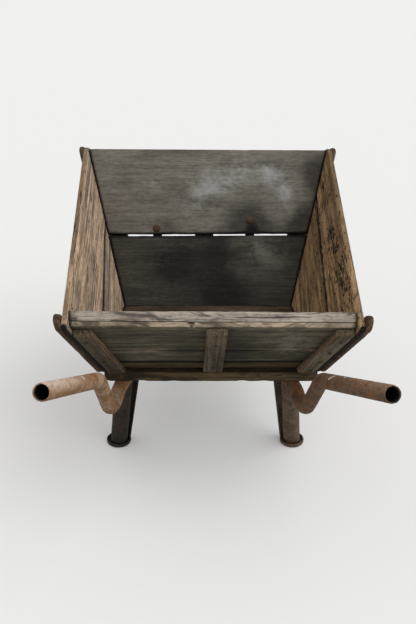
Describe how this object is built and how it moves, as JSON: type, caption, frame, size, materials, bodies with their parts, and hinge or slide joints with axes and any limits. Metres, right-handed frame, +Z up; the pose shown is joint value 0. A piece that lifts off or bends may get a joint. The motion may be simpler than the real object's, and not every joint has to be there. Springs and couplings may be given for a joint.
{
  "type": "wheelbarrow",
  "caption": "Old single-wheel barrow with a flared board hopper, nailed cleats and battens, and a rusty bent-pipe frame with tube legs and a spoked iron wheel.",
  "frame": {"origin": "on the floor under the middle of the barrow's bounding box", "axes": "+Z up, +Y forward from the grips to the wheel, +X to the right of a person holding the grips"},
  "size_m": [0.6789, 1.2277, 0.6541],
  "materials": {
    "floor_wood": "old grey-brown boards",
    "headboard_wood": "dark weathered grey-brown planks",
    "left_side_wood": "weathered brown with pale streaks",
    "right_side_wood": "weathered golden brown with dark flecks",
    "batten_wood": "weathered brown",
    "cleat_wood": "weathered grey-brown",
    "tail_inner_wood": "worn pale top edge",
    "tail_outer_wood": "weathered olive grey",
    "beam_wood": "dark weathered wood",
    "left_pipe_rust": "dry salmon-brown rust",
    "right_pipe_rust": "dry dark brown rust",
    "leg_rust": "dark rust",
    "strap_rust": "dark rust",
    "fastener_rust": "rusted solid",
    "nail_rust": "rusted heads",
    "axle_rust": "rust polished dark where it runs",
    "wheel_rust": "rusted iron"
  },
  "bodies": {
    "barrow": {"floor_rear_board": "floor_wood", "floor_middle_board": "floor_wood", "floor_front_board": "floor_wood", "headboard_lower_plank": "headboard_wood", "headboard_upper_plank": "headboard_wood", "headboard_left_cleat": "cleat_wood", "headboard_centre_cleat": "cleat_wood", "headboard_right_cleat": "cleat_wood", "left_side_lower_plank": "left_side_wood", "left_side_upper_plank": "left_side_wood", "right_side_lower_plank": "right_side_wood", "right_side_upper_plank": "right_side_wood", "left_rear_batten": "batten_wood", "left_front_batten": "batten_wood", "right_rear_batten": "batten_wood", "right_front_batten": "batten_wood", "tail_inner_lower_plank": "tail_inner_wood", "tail_inner_upper_plank": "tail_inner_wood", "tail_outer_bottom_strip": "tail_outer_wood", "tail_outer_lower_plank": "tail_outer_wood", "tail_outer_upper_plank": "tail_outer_wood", "tail_left_cleat": "cleat_wood", "tail_centre_cleat": "cleat_wood", "tail_right_cleat": "cleat_wood", "rear_cross_beam": "beam_wood", "front_cross_beam": "beam_wood", "left_handle_pipe": "left_pipe_rust", "right_handle_pipe": "right_pipe_rust", "left_leg_tube": "leg_rust", "right_leg_tube": "leg_rust", "left_leg_stay": "leg_rust", "right_leg_stay": "leg_rust", "left_foot_plate": "leg_rust", "right_foot_plate": "leg_rust", "left_front_stay": "strap_rust", "right_front_stay": "strap_rust", "stay_bolts": "fastener_rust", "stay_nuts": "fastener_rust", "beam_bolts": "fastener_rust", "beam_washers": "fastener_rust", "beam_nuts": "fastener_rust", "left_axle_plate": "axle_rust", "right_axle_plate": "axle_rust", "axle": "axle_rust", "axle_washers": "axle_rust", "split_pins": "axle_rust", "tail_nails": "nail_rust", "headboard_nails": "nail_rust", "side_nails": "nail_rust", "floor_nails": "nail_rust"},
    "wheel": {"wheel_tyre": "wheel_rust", "wheel_spokes": "wheel_rust", "wheel_hub": "wheel_rust"}
  },
  "joints": [
    {"name": "wheel_spin", "type": "hinge", "parent": "barrow", "child": "wheel", "pos_m": [0, 0.414, 0.2], "axis": [1, 0, 0], "continuous": true}
  ]
}
